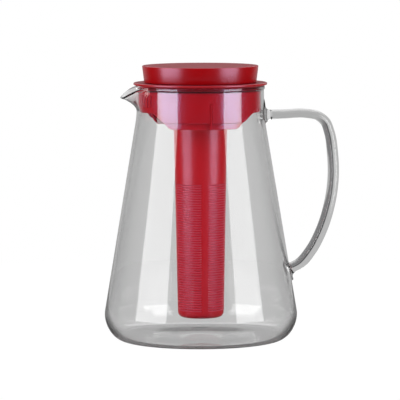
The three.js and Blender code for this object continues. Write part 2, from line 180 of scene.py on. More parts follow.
def new_material(name: str) -> tuple[bpy.types.Material, Shading]:
    """Makes a material with an empty node tree, and gives back both."""
    material = bpy.data.materials.new(name)
    material.use_nodes = True
    return material, Shading(material.node_tree)


# Profiles, grids and meshes


def rounded(corners: Corners, steps: int = 5) -> tuple[Array, Array]:
    """Turns the corners of a line into arcs.

    A corner of radius r between unit directions u and v, at half their angle a, gets an arc about
    the point r / sin(a) along their bisector, between the points r / tan(a) along each of them.

    Args:
        corners: Radius about +Z, height and rounding of each corner. The ends stay sharp.
        steps: Steps in each arc.

    Returns:
        The points of the line, and the row at which each corner starts.
    """
    points: list[Array] = []
    starts: list[int] = []
    places = np.array([c[:2] for c in corners])
    for i, (here, radius) in enumerate(zip(places, (c[2] for c in corners))):
        starts.append(sum(len(p) for p in points))
        if radius == 0 or i in (0, len(corners) - 1):
            points.append(here[None])
            continue
        u, v = places[i - 1] - here, places[i + 1] - here
        u, v = u / np.linalg.norm(u), v / np.linalg.norm(v)
        half = math.acos(np.clip(u @ v, -1, 1)) / 2
        centre = here + (u + v) / np.linalg.norm(u + v) * radius / math.sin(half)
        first, last = here + u * radius / math.tan(half), here + v * radius / math.tan(half)
        turn = np.linspace(0, 1, steps + 1)[:, None]
        spread = math.pi - 2 * half
        start_arm = np.sin((1 - turn) * spread) * (first - centre)
        end_arm = np.sin(turn * spread) * (last - centre)
        points.append(centre + (start_arm + end_arm) / math.sin(spread))
    return np.concatenate(points), np.array(starts)


def closed_profile(corners: Corners) -> tuple[Array, Array]:
    """Rounds the corners of a line that runs back to its start, as rounded does."""
    line, start = rounded(corners + corners[:1])
    return line[:-1], start


def columns_about(step: float, special: list[float], clearance: float = 0.35) -> Array:
    """Angles for the columns of a grid about +Z: even ones, and exact ones where edges lie.

    Args:
        step: Degrees between even columns.
        special: Exact angles in degrees.
        clearance: Even columns closer than this to an exact one are left out.

    Returns:
        The angles in degrees, rising from 0 to below 360.
    """
    exact = np.unique(np.round(np.mod(special, FULL_TURN), 5))
    even = np.arange(0, FULL_TURN, step)
    away = np.abs(even[:, None] - exact[None])
    away = np.minimum(away, FULL_TURN - away).min(axis=1)
    return np.sort(np.concatenate([even[away > clearance], exact]))


def off_direction(angles: Array, direction: float) -> Array:
    """How far each angle lies from a direction, in signed degrees."""
    return (angles - direction + FULL_TURN / 2) % FULL_TURN - FULL_TURN / 2

def columns_within(angles: Array, direction: float, half: float) -> Array:
    """The columns up to half degrees off a direction, both edges included, in rising order."""
    away = off_direction(angles, direction) / half
    span = np.flatnonzero(np.abs(away) < EDGE_INCLUDED)
    return span[np.argsort(away[span])]


def smooth_step(values: Array, start: float, end: float) -> Array:
    """Rises from 0 at start to 1 at end, as 3 t squared less 2 t cubed."""
    t = np.clip((values - start) / (end - start), 0, 1)
    return t * t * (3 - 2 * t)


def turned(radii: Array, heights: Array, angles: Array) -> Array:
    """Carries a profile round +Z: x is r cos a, y is r sin a, z is the height.

    Args:
        radii: Radius of each row, or of each row at each column.
        heights: Height of each row, or of each row at each column.
        angles: Angle of each column in degrees.

    Returns:
        Points as (rows, columns, 3).
    """
    radii = radii[:, None] if radii.ndim == 1 else radii
    heights = heights[:, None] if heights.ndim == 1 else heights
    turn = np.radians(angles)[None]
    x, y = radii * np.cos(turn), radii * np.sin(turn)
    return np.stack([x, y, np.broadcast_to(heights, x.shape)], axis=-1)


@dataclass
class Skin:
    """Points and faces of one piece in millimetres, gathered before they become a mesh."""

    points: list[Array] = field(default_factory=list)
    faces: list[Array] = field(default_factory=list)
    count: int = 0

    def grid(
        self,
        points: Array,
        closed_rows: bool = False,
        closed_columns: bool = True,
        keep: Array | None = None,
    ) -> Array:
        """Adds a grid of points with a four-sided face in each cell.

        Args:
            points: Points as (rows, columns, 3).
            closed_rows: Whether the last row joins the first.
            closed_columns: Whether the last column joins the first.
            keep: False for each cell that is left open, as (rows, columns).

        Returns:
            The number of each point, as (rows, columns).
        """
        rows, columns = points.shape[:2]
        index = np.arange(rows * columns).reshape(rows, columns) + self.count
        self.points.append(points.reshape(-1, 3))
        self.count += rows * columns
        down, across = np.roll(index, -1, 0), np.roll(index, -1, 1)
        cells = np.stack([index, across, np.roll(down, -1, 1), down], axis=-1)
        shown = np.ones((rows, columns), bool) if keep is None else keep.copy()
        if not closed_rows:
            shown[-1] = False
        if not closed_columns:
            shown[:, -1] = False
        self.faces.append(cells[shown])
        return index

    def strip(self, first: Array, second: Array) -> None:
        """Joins two lines of point numbers, of the same length, by four-sided faces."""
        self.faces.append(np.stack([first[:-1], first[1:], second[1:], second[:-1]], axis=-1))

    def polygon(self, corners: Array) -> None:
        """Adds one flat face through these point numbers."""
        self.faces.append(corners[None])

    def wall(self, corners: Array) -> None:
        """Adds one flat face through these new points."""
        self.points.append(corners)
        self.polygon(np.arange(len(corners)) + self.count)
        self.count += len(corners)

    def build(self, name: str, crease: Crease = Crease.MOULDED) -> Piece:
        """Makes the mesh: doubles merged, faces turned outwards, smooth up to the crease angle.

        Args:
            name: The object's name.
            crease: The angle past which an edge shows.

        Returns:
            The object, at the origin.
        """
        mesh = bpy.data.meshes.new(name)
        points = np.concatenate(self.points) * METRES_PER_MM
        mesh.from_pydata(points.tolist(), [], [f for block in self.faces for f in block.tolist()])
        work = bmesh.new()
        work.from_mesh(mesh)
        bmesh.ops.remove_doubles(work, verts=work.verts, dist=WELD_DISTANCE)
        bmesh.ops.recalc_face_normals(work, faces=work.faces)
        work.to_mesh(mesh)
        work.free()
        return shown_object(name, mesh, crease)

def lathed(
    name: str, radii: Array, heights: Array, angles: Array, closed_rows: bool = True
) -> Piece:
    """Makes a moulded piece by carrying a profile round +Z, as turned and Skin.build do."""
    skin = Skin()
    skin.grid(turned(radii, heights, angles), closed_rows)
    return skin.build(name)


def shown_object(name: str, mesh: bpy.types.Mesh, crease: Crease) -> Piece:
    """Links a mesh into the scene, smooth up to the crease angle.

    Args:
        name: The object's name.
        mesh: Its mesh, in metres.
        crease: The angle past which an edge shows.

    Returns:
        The object, at the origin.
    """
    mesh.polygons.foreach_set("use_smooth", np.ones(len(mesh.polygons), bool))
    mesh.set_sharp_from_angle(angle=math.radians(crease.value))
    made = bpy.data.objects.new(name, mesh)
    bpy.context.scene.collection.objects.link(made)
    return made


def window(
    skin: Skin,
    index: Array,
    outside: tuple[int, int],
    inside: tuple[int, int],
    columns: Array,
) -> None:
    """Adds the four walls of a hole between the outer and the inner rows of a closed profile.

    Args:
        skin: The piece.
        index: Point numbers of its grid.
        outside: First and last row of the hole on the outer side.
        inside: First and last row of the hole on the inner side.
        columns: The columns that the hole spans, both edges included.
    """
    skin.strip(index[outside[0], columns], index[inside[1], columns])
    if outside[1] != inside[0]:
        skin.strip(index[outside[1], columns], index[inside[0], columns])
    rows = np.r_[outside[0] : outside[1] + 1, inside[0] + (outside[1] == inside[0]) : inside[1] + 1]
    skin.polygon(index[rows, columns[0]])
    skin.polygon(index[rows, columns[-1]])


def fuse(body: Piece, other: Piece, crease: Crease) -> Piece:
    """Melts two closed pieces into one mesh, without the faces that lie inside it.

    Args:
        body: The piece that keeps its name.
        other: The piece that is melted in, and removed.
        crease: The angle past which an edge shows.

    Returns:
        The fused object.
    """
    union = body.modifiers.new("weld", "BOOLEAN")
    union.operation = "UNION"
    union.solver = "EXACT"
    union.object = other
    graph = bpy.context.evaluated_depsgraph_get()
    mesh = bpy.data.meshes.new_from_object(body.evaluated_get(graph))
    name = body.name
    for spent in (body, other):
        bpy.data.meshes.remove(spent.data)
    mesh.name = name
    return shown_object(name, mesh, crease)


# Finishes


@dataclass(frozen=True)
class BorosilicateGlass:
    """Borosilicate glass, blown into a mould and welded in the flame.

    The eye sees a clear wall with sharp reflections, a little grey where it looks through it,
    painted shade that greys the wall where it turns edge on, and slow waves from blowing. A drawn
    bar, which has the middle of its bend in metres, gets a line of painted shade along the inner
    side of the bend, with a painted highlight beside it."""

    name: str
    bend_middle: tuple[float, float, float] | None = None
    tint: str = "FAFAFA"
    # Painted shade: the grey that the wall is tinted where it turns edge on
    edge_painted_shade: str = "A8A8A8"
    edge_span: tuple[float, float] = (0.66, 0.94)
    refraction: float = 1.47
    wave_length_mm: float = 55.0
    wave_height_mm: float = 0.5
    wave_detail: float = 1.0
    wave_strength: float = 0.25
    depth_tint: str = "808080"
    absorbed_per_metre: float = 18.0
    bar_tint: str = "E0E0E0"
    # Painted shade and a painted highlight: dark stops and a white one along the bar's bend
    bend_shade_tints: tuple[tuple[float, str], ...] = (
        (-0.9, "E0E0E0"),
        (-0.82, "707072"),
        (-0.42, "707072"),
        (-0.36, "262628"),
        (-0.24, "262628"),
        (-0.12, "FFFFFF"),
    )
    bend_shade_side: tuple[float, float, float] = (0.8, 0.0, -0.6)
    bend_shade_fade: tuple[float, float] = (-0.33, -0.1)

    def painted_bend_shade(self, shading: Shading) -> Socket:
        """Painted shade on a drawn bar: a dark line along the inner side of its bend.

        A face's lean is its normal times the direction from the bend's middle, from -1 on the
        inner side to 1 on the outer one, and each tint is set at a lean: the dark stops are painted
        shade and the white one is a painted highlight, in place of what the bend's refraction
        shows.
        Rays that leave the glass see none of it, and it fades towards the upper weld, against the
        shaded side.

        Args:
            shading: The material's tree.

        Returns:
            The colour socket.
        """
        where = shading.node("TexCoord").outputs["Object"]
        shape = shading.node("NewGeometry").outputs
        ray = shading.vector("NORMALIZE", shading.vector("SUBTRACT", where, self.bend_middle))
        lean = shading.vector("DOT_PRODUCT", ray, shape["Normal"])
        tints = shading.node("ValToRGB", {"Fac": shading.span(lean, (-1.0, 1.0), curve="LINEAR")})
        stops = tints.color_ramp.elements
        stops.remove(stops[-1])
        stops[0].color = linear(self.bar_tint)
        for lean_here, shade in self.bend_shade_tints:
            stops.new((lean_here + 1) / 2).color = linear(shade)
        side = shading.vector("DOT_PRODUCT", ray, self.bend_shade_side)
        entering = shading.math("SUBTRACT", 1.0, shape["Backfacing"])
        bend = shading.span(side, self.bend_shade_fade, high=entering)
        return shading.mix_colours(bend, linear(self.bar_tint), tints.outputs["Color"])

    def edge(self, shading: Shading) -> Socket:
        """Painted shade on a blown wall: clear face on, and grey where it turns edge on."""
        facing = shading.node("LayerWeight", {"Blend": 0.5}).outputs["Facing"]
        share = shading.span(facing, self.edge_span)
        return shading.mix_colours(share, linear(self.tint), linear(self.edge_painted_shade))

    def material(self) -> bpy.types.Material:
        """Makes the glass, as a material of the finish's own name."""
        material, shading = new_material(self.name)
        waves = shading.noise(self.wave_length_mm, self.wave_detail)
        feeds = {
            "Base Color": self.painted_bend_shade(shading) if self.bend_middle else self.edge(shading),
            "Roughness": 0.0,
            "IOR": self.refraction,
            "Transmission Weight": 1.0,
            "Normal": shading.bump(waves, self.wave_strength, self.wave_height_mm),
        }
        wall = shading.node("BsdfPrincipled", feeds)
        rays = shading.node("LightPath").outputs
        passing = shading.math("MAXIMUM", rays["Is Shadow Ray"], rays["Is Diffuse Ray"])
        clear = shading.node("BsdfTransparent")
        feeds = {0: passing, 1: wall.outputs["BSDF"], 2: clear.outputs[0]}
        surface = shading.node("MixShader", feeds)
        feeds = {"Color": linear(self.depth_tint), "Density": self.absorbed_per_metre}
        depth = shading.node("VolumeAbsorption", feeds)
        feeds = {"Surface": surface.outputs[0], "Volume": depth.outputs["Volume"]}
        shading.node("OutputMaterial", feeds)
        return material


@dataclass(frozen=True)
class MouldedPlastic:
    """Polypropylene, injection moulded and coloured right through.

    The eye sees a deep red with a satin sheen, broad soft reflections, a fine spark-eroded grain,
    and a slight cloudiness where the melt flowed."""

    name: str
    colour: str
    cloud_colour: str
    roughness: float
    smoother: float = 0.03
    rougher: float = 0.05
    grain_mm: float = 0.35
    grain_detail: float = 2.0
    grain_strength: float = 0.3
    grain_height_mm: float = 0.012
    cloud_mm: float = 28.0
    cloud_detail: float = 3.0
    sheen: float = 0.0
    gloss_colour: str = "F0D8FF"
    refraction: float = 1.72

    def material(self) -> bpy.types.Material:
        """Makes the plastic, as a material of the finish's own name."""
        material, shading = new_material(self.name)
        clouds = shading.noise(self.cloud_mm, self.cloud_detail)
        grain = shading.noise(self.grain_mm, self.grain_detail)
        colours = linear(self.colour), linear(self.cloud_colour)
        low, high = self.roughness - self.smoother, self.roughness + self.rougher
        feeds = {
            "Base Color": shading.mix_colours(clouds, *colours),
            "Roughness": shading.span(clouds, (0.0, 1.0), low, high, "LINEAR"),
            "IOR": self.refraction,
            "Specular Tint": linear(self.gloss_colour),
            "Sheen Weight": self.sheen,
            "Normal": shading.bump(grain, self.grain_strength, self.grain_height_mm),
        }
        surface = shading.node("BsdfPrincipled", feeds)
        shading.node("OutputMaterial", {"Surface": surface.outputs["BSDF"]})
        return material


# Glass blown into a mould: clear, with waves that bend what is seen through it
BLOWN_GLASS = BorosilicateGlass("blown_borosilicate_glass")
# The weld of the handle to the neck is full of fine seeds, so it bends little and looks pale
WELDED_GLASS = BorosilicateGlass(
    "welded_borosilicate_glass", refraction=1.16, absorbed_per_metre=4.0
)
# The fire-polished bead hangs over in the shade of the lid, so its underside is a dark line
SHADED_GLASS = BorosilicateGlass("shaded_borosilicate_glass", tint="A88A92")
# The cap is spark eroded to a satin, which gives broad dim bands
SATIN_LID = MouldedPlastic(
    "satin_polypropylene", "AA0205", "A20103", roughness=0.25, refraction=1.8
)
# The collar is polished where it runs in the neck, and shows the boxes as sharp violet bands
POLISHED_LID = MouldedPlastic(
    "polished_polypropylene",
    "C40814",
    "BC0611",
    roughness=0.2,
    gloss_colour="98C4FF",
    refraction=2.25,
)
# Painted light: the thin infuser's red is painted lighter than the lid's, which stands in for
# the light that comes through it
INFUSER_PAINTED_LIGHT = MouldedPlastic("painted_light_polypropylene", "CC0D1B", "C40A17", roughness=0.29)
# The skirts lie close behind the glass and are polished like the collar; their red is painted
# lighter than the collar's, as painted light
SKIRT_PAINTED_LIGHT = MouldedPlastic(
    "polished_thin_polypropylene",
    "CC0D1B",
    "C40A17",
    roughness=0.2,
    gloss_colour="98C4FF",
    refraction=2.1,
)
# Level faces are coarsely spark eroded, so they mirror little even where they are seen edge on;
# their red is painted pinker than the sides', as painted sheen
ERODED_TOP_PAINTED_SHEEN = MouldedPlastic(
    "eroded_polypropylene_painted_sheen", "8C1222", "840E1E", roughness=0.4, refraction=1.12
)
# Painted light: the walls of the slots are painted a light pink, which stands in for the light
# that soaks through their thin edges and lifts the shade inside them
SLOT_WALLS_PAINTED_LIGHT = MouldedPlastic("slot_wall_polypropylene_painted_light", "E2506A", "D84A62", roughness=0.4)
# Liquid silicone, injection moulded in a polished tool: glossy where it lies against the glass
POLISHED_RING = MouldedPlastic(
    "liquid_silicone_rubber",
    "A8101A",
    "A00C16",
    roughness=0.25,
    gloss_colour="A0C8FF",
    refraction=2.1,
)
# Silicone rubber, compression moulded: matt, with a soft bloom on its edges
SILICONE = MouldedPlastic("silicone_rubber", "A81420", "A0101A", roughness=0.5, sheen=0.3)

Finish = BorosilicateGlass | MouldedPlastic
MATERIALS: dict[Finish, bpy.types.Material] = {}


def shared(finish: Finish) -> bpy.types.Material:
    """The material of a finish. Pieces of one finish share it."""
    if finish not in MATERIALS:
        MATERIALS[finish] = finish.material()
    return MATERIALS[finish]


def faces_of(piece: Piece) -> tuple[Array, Array]:
    """The middle of each face of a piece in millimetres, and its normal, as two (faces, 3)."""
    polygons = piece.data.polygons
    middles, normals = np.empty(3 * len(polygons)), np.empty(3 * len(polygons))
    polygons.foreach_get("center", middles)
    polygons.foreach_get("normal", normals)
    return middles.reshape(-1, 3) / METRES_PER_MM, normals.reshape(-1, 3)


def recoat(piece: Piece, finish: Finish, chosen: Array) -> None:
    """Gives some faces of a piece a finish of their own.

    Args:
        piece: The piece.
        finish: Their finish.
        chosen: True for each face that gets it.
    """
    polygons = piece.data.polygons
    slots = np.empty(len(polygons), dtype=np.int32)
    polygons.foreach_get("material_index", slots)
    slots[chosen] = len(piece.data.materials)
    piece.data.materials.append(shared(finish))
    polygons.foreach_set("material_index", slots)


def place(piece: Piece, body: str, slot: str, *nodes: str) -> None:
    """Puts a piece on its body, in place of the nodes of the frame that it stands for.

    Args:
        piece: The piece.
        body: The body it moves with.
        slot: The record's material slot. Not used.
        nodes: The nodes it replaces.
    """
    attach(piece, body)
    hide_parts(*nodes)
    log.info("%s rides on %s: %d faces", piece.name, body, len(piece.data.polygons))


# Sub-assemblies


@dataclass
class Jug:
    """The blown jug with its pinched spout, fused with its handle. Sizes in millimetres."""

    height: float = 209.2
    neck_radius: float = 52.3
    neck_height: float = 23.7
    shoulder_round: float = 7.0
    cone_foot_radius: float = 83.1
    corner_height: float = 24.0
    flat_radius: float = 64.0
    corner_fullness: float = 0.5
    wall: float = 2.0
    floor_thickness: float = 2.8
    bead_height: float = 2.9
    bead_slope: float = 0.8
    bead_swell: float = 0.7
    foot_radius: float = 44.0
    punt_height: float = 2.4
    inner_punt_height: float = 1.4
    spout_reach: float = 13.5
    spout_droop: float = 9.2
    spout_depth: float = 21.0
    spout_half_angle: float = 30.0
    reach_power: float = 1.6
    droop_power: float = 1.3
    droop_across_power: float = 1.5
    weld_reach: float = 7.0
    rim_lead: float = 1.0
    shade_reach: float = 0.4
    shade_gap: float = 1.0
    shade_lean: float = -0.3
    columns: int = 240
    corner_rows: int = 30
    cone_rows: int = 24
    shoulder_rows: int = 9
    neck_rows: int = 18
    punt_rows: int = 16
    handle: "JugHandle" = field(default_factory=lambda: JugHandle())

    @property
    def shoulder_height(self) -> float:
        """Height of the corner between the cone and the neck."""
        return self.height - self.neck_height

    @property
    def slope(self) -> float:
        """The cone's slope off the upright, in radians."""
        return math.atan2(self.cone_foot_radius - self.neck_radius, self.shoulder_height)

    def outer_line(self) -> Array:
        """The outer side of the wall, from the flat it stands on up to its rim.

        A conic for the corner, from the flat to the cone, drawn towards the point where their
        lines meet by the corner's fullness; a straight cone, a quadratic curve round the
        shoulder, and the upright neck.

        Returns:
            Points as (rows, 2): radius and height.
        """
        shoulder = np.array([self.neck_radius, self.shoulder_height])
        down = np.array([math.sin(self.slope), -math.cos(self.slope)])
        leave = shoulder + down * (self.shoulder_height - self.corner_height) / -down[1]
        t = np.linspace(0, 1, self.corner_rows)[:, None]
        shares = np.hstack([(1 - t) ** 2, 2 * self.corner_fullness * t * (1 - t), t**2])
        arc = shares @ np.array([(self.flat_radius, 0), (self.cone_foot_radius, 0), leave])
        arc /= shares.sum(axis=1)[:, None]
        below = shoulder + self.shoulder_round * down
        above = shoulder + np.array([0, self.shoulder_round])
        cone = arc[-1] + np.linspace(0, 1, self.cone_rows)[1:-1, None] * (below - arc[-1])
        t = np.linspace(0, 1, self.shoulder_rows)[:, None]
        curve = (1 - t) ** 2 * below + 2 * t * (1 - t) * shoulder + t**2 * above
        t = np.linspace(0, 1, self.neck_rows)[1:-1, None]
        upright = above + t * (self.rim_line()[0] - above)
        return np.concatenate([arc, cone, curve, upright])

    def rim_line(self) -> Array:
        """The fire-polished rim: a bead that swells outwards, flush with the wall's inner side."""
        outside, inside = self.neck_radius, self.neck_radius - self.wall
        foot = self.height - self.bead_height
        corners = [
            (outside, foot - self.rim_lead, 0),
            (outside, foot, 0.4),
            (outside + self.bead_swell, foot + self.bead_slope, 0.3),
            (outside + self.bead_swell, self.height, 0.35),
            (inside, self.height, 0.9),
            (inside, foot, 0),
        ]
        return rounded(corners)[0]

    def inner_line(self, outer: Array) -> Array:
        """The inner side of the wall: the outer one set in along its normals.

        The wall thickens to the floor's thickness by a smooth step over the corner's height.

        Args:
            outer: The outer side.

        Returns:
            Points as (rows, 2).
        """
        ahead = np.gradient(outer, axis=0)
        inwards = np.stack([-ahead[:, 1], ahead[:, 0]], axis=-1)
        inwards /= np.linalg.norm(inwards, axis=1)[:, None]
        thicker = 1 - smooth_step(outer[:, 1], 0, self.corner_height)
        depth = self.wall + (self.floor_thickness - self.wall) * thicker
        return outer + inwards * depth[:, None]

    def punt_line(self, radius: float, height: float, rise: float) -> Array:
        """A floor from its centre outwards, which rises to the centre as a raised cosine."""
        out = np.linspace(0, 1, self.punt_rows)[:, None]
        return np.hstack([out * radius, height + rise * (0.5 + 0.5 * np.cos(math.pi * out))])

    def profile(self) -> Array:
        """The whole section, from the centre underneath round the wall to the centre inside."""
        outer = self.outer_line()
        inner = self.inner_line(outer)
        under = self.punt_line(self.foot_radius, 0.0, self.punt_height)
        floor = self.punt_line(self.foot_radius, self.floor_thickness, self.inner_punt_height)
        return np.concatenate([under, outer, self.rim_line(), inner[::-1], floor[::-1]])

    def pinch(self, points: Array) -> Array:
        """Pulls the neck out into the spout.

        Across the spout the push is a raised cosine of the angle, and it grows with a power of
        the height above the spout's root. The rim droops with it.

        Args:
            points: The jug's points before the pinch.

        Returns:
            The points after it.
        """
        x, y, z = np.moveaxis(points, -1, 0)
        radius = np.hypot(x, y)
        across = np.clip(np.abs(np.degrees(np.arctan2(y, -x))) / self.spout_half_angle, 0, 1)
        push = np.cos(across * math.pi / 2) ** 2
        up = np.clip((z - self.height + self.spout_depth) / self.spout_depth, 0, None)
        pushed = radius + self.spout_reach * push * up**self.reach_power
        grow = pushed / np.where(radius > 0, radius, 1)
        drop = self.spout_droop * push**self.droop_across_power * up**self.droop_power
        return np.stack([x * grow, y * grow, z - drop], axis=-1)

    def build(self) -> None:
        """Makes the fused jug and puts it on its body."""
        line = self.profile()
        angles = np.arange(self.columns) * FULL_TURN / self.columns
        skin = Skin()
        skin.grid(self.pinch(turned(line[:, 0], line[:, 1], angles)))
        body = skin.build("blown_jug", Crease.BLOWN)
        made = fuse(body, self.handle.build(self), Crease.BLOWN)
        made.data.materials.clear()
        made.data.materials.append(shared(BLOWN_GLASS))
        self.tint_parts(made)
        place(made, "jug", "jug_glass", "jug_body", "jug_handle")

    def tint_parts(self, made: Piece) -> None:
        """Gives the handle's bar, its weld to the neck and the bead's underside their own glass:
        the bar's has painted shade and a painted highlight along its bend, and the bead's is
        painted shade.

        Args:
            made: The fused jug.
        """
        middles, normals = faces_of(made)
        x, y, z = middles.T
        radii = np.hypot(x, y)
        wall = self.outer_line()
        bar = (x > 0) & (radii > np.interp(z, wall[:, 1], wall[:, 0]) + self.wall)
        weld = bar & (z > self.shoulder_height - self.spout_depth)
        weld &= radii < self.neck_radius + self.weld_reach
        # Painted shade: the bead's underside gets a dark pink-grey glass
        bead = (radii > self.neck_radius) & (radii < self.neck_radius + self.bead_swell)
        bead &= z > self.height - self.bead_height - self.shade_reach
        bead &= (np.abs(y) > self.shade_gap) & (normals[:, 2] < self.shade_lean)
        out = self.neck_radius + self.handle.stand_off / 2
        up = (self.height + self.handle.foot_height) / 2
        bend = (out * METRES_PER_MM, 0.0, up * METRES_PER_MM)
        # The bar gets painted shade and a painted highlight along the inner side of its bend
        recoat(made, BorosilicateGlass("drawn_glass_with_painted_shade_line", bend), bar)
        recoat(made, WELDED_GLASS, weld)
        recoat(made, SHADED_GLASS, bead)


@dataclass
class JugHandle:
    """The glass bar that is bent and welded to the wall at both ends. Sizes in millimetres."""

    top_depth: float = 23.9
    foot_height: float = 60.0
    stand_off: float = 53.4
    width: float = 14.0
    top_thickness: float = 7.0
    grip_thickness: float = 9.1
    root_swell: float = 1.2
    grip_share: float = 0.5
    width_share: float = 0.6
    root_swell_length: float = 32.0
    upper_outer_flare: tuple[float, float] = (5.5, 11.0)
    upper_inner_flare: tuple[float, float] = (8.0, 9.5)
    lower_outer_flare: tuple[float, float] = (4.5, 5.0)
    lower_inner_flare: tuple[float, float] = (4.0, 4.5)
    cap_shares: tuple[float, ...] = (0, 0.35, 0.7, 1)
    line_shares: tuple[tuple[float, float], ...] = (
        (0, 1),
        (0.331, 1),
        (0.673, 1),
        (0.859, 0.983),
        (0.963, 0.944),
        (1, 0.878),
        (0.996, 0.727),
        (0.946, 0.575),
        (0.808, 0.387),
        (0.624, 0.227),
        (0.406, 0.094),
        (0.187, 0.005),
        (-0.008, -0.032),
    )
    rows: int = 150
    sides: int = 36

    def line(self, jug: Jug) -> Array:
        """The bar's centre line, by the same shares as the frame's handle.

        Each share is a part of the stand-off from the line between the two welds, and a part of
        the height between them. A cubic curve runs through them with chord-length knots.

        Args:
            jug: The jug that carries it.

        Returns:
            Points in the plane of the handle as (rows, 2), evenly spaced along the curve.
        """
        top = jug.height - self.top_depth
        drop = jug.shoulder_height - self.foot_height
        foot_radius = jug.neck_radius + drop * math.tan(jug.slope)
        out, up = np.array(self.line_shares).T
        wall = foot_radius + (jug.neck_radius - foot_radius) * up
        heights = self.foot_height + up * (top - self.foot_height)
        knots = np.stack([wall + out * self.stand_off, heights], axis=1)
        chord = np.r_[0, np.cumsum(np.linalg.norm(np.diff(knots, axis=0), axis=1))]
        return cubic_through(knots, chord, self.rows)

    def halves(self, along: Array) -> tuple[Array, Array, Array]:
        """The bar's section: an oval that is flared where it is welded to the wall.

        Args:
            along: Distances along the bar from its upper end.

        Returns:
            Half its thickness on the outer and on the inner side, and half its width.
        """
        left = along[-1] - along
        grip = smooth_step(along / along[-1], 0, self.grip_share)
        half = (self.top_thickness + (self.grip_thickness - self.top_thickness) * grip) / 2
        swell = self.root_swell * (1 - smooth_step(along, 0, self.root_swell_length))
        outer = flare(along, self.upper_outer_flare) + flare(left, self.lower_outer_flare)
        inner = flare(along, self.upper_inner_flare) + flare(left, self.lower_inner_flare)
        half_width = self.width / 2 + self.width_share * (outer + inner) / 2
        return half + outer, half + swell + inner, half_width

    def build(self, jug: Jug) -> Piece:
        """Sweeps the section along the line, from inside the wall to inside the wall.

        Points that would reach past the middle of the wall stay on it.

        Args:
            jug: The jug that carries it.

        Returns:
            The closed bar.
        """
        line = self.line(jug)
        ahead = np.gradient(line, axis=0)
        ahead /= np.linalg.norm(ahead, axis=1)[:, None]
        along = np.r_[0, np.cumsum(np.linalg.norm(np.diff(line, axis=0), axis=1))]
        caps = np.array(self.cap_shares)
        outer, inner, half_width = (
            np.r_[sizes[0] * caps, sizes, sizes[-1] * caps[::-1]][:, None]
            for sizes in self.halves(along)
        )
        ends = ((len(caps), len(caps)), (0, 0))
        depth = np.zeros((len(line), 1))
        depth = np.pad(depth, ends, constant_values=((-1, 1), (0, 0))) * jug.wall * 2
        ahead = np.pad(ahead, ends, "edge")
        line = np.pad(line, ends, "edge") + ahead * depth
        turn = np.linspace(0, 2 * math.pi, self.sides, endpoint=False)
        out = np.stack([-ahead[:, 1], ahead[:, 0]], axis=-1)
        lift = np.where(np.sin(turn) > 0, outer, inner) * np.sin(turn)
        x = line[:, :1] + out[:, :1] * lift
        z = line[:, 1:] + out[:, 1:] * lift
        y = half_width * np.cos(turn)
        wall = jug.outer_line()
        middle = np.interp(z, wall[:, 1], wall[:, 0]) - jug.wall / 2
        radius = np.hypot(x, y)
        push = np.maximum(middle / radius, 1)
        skin = Skin()
        skin.grid(np.stack([x * push, y * push, z], axis=-1))
        return skin.build("handle_bar", Crease.BLOWN)


def flare(distance: Array, size: tuple[float, float]) -> Array:
    """How far a weld widens a bar: a quarter ellipse of a size along the bar and the wall."""
    short = np.clip(1 - distance / size[0], 0, 1)
    return size[1] * (1 - np.sqrt(1 - short**2))


def cubic_through(knots: Array, chord: Array, rows: int) -> Array:
    """A smooth curve through points: between two knots a cubic with their central slopes.

    Args:
        knots: The points.
        chord: The distance along the line at each of them.
        rows: How many points to give back, closer together near the ends.

    Returns:
        Points as (rows, 2).
    """
    slopes = np.gradient(knots, chord, axis=0)
    s = chord[-1] * (0.5 - 0.5 * np.cos(np.linspace(0, math.pi, rows)))
    i = np.clip(np.searchsorted(chord, s, side="right") - 1, 0, len(chord) - 2)
    span = (chord[i + 1] - chord[i])[:, None]
    t = (s - chord[i])[:, None] / span
    start = (2 * t**3 - 3 * t**2 + 1) * knots[i] + (t**3 - 2 * t**2 + t) * span * slopes[i]
    end = (3 * t**2 - 2 * t**3) * knots[i + 1] + (t**3 - t**2) * span * slopes[i + 1]
    return start + end


@dataclass
class Wave:
    """The wavy lower edges: low at the front and the back, high at the spout and the handle."""

    centre: float = 96.0
    collar_start: float = 38.0
    collar_end: float = 56.0
    skirt_start: float = 32.0
    skirt_end: float = 70.0

    def height(self, angles: Array, low: float, high: float, start: float, end: float) -> Array:
        """The edge's height: low up to start degrees from the wave's centre, high from end on."""
        away = np.abs(np.abs(off_direction(angles, Facing.HANDLE.value)) - self.centre)
        return low + (high - low) * smooth_step(away, start, end)


def drawn_up(heights: Array, free: Array, pivot: float, bottom: float, edge: Array) -> Array:
    """Stretches the free points below a pivot, so that the bottom comes to lie on a wavy edge."""
    stretch = (pivot - edge) / (pivot - bottom)
    return np.where(free, pivot + (heights - pivot) * stretch, heights)


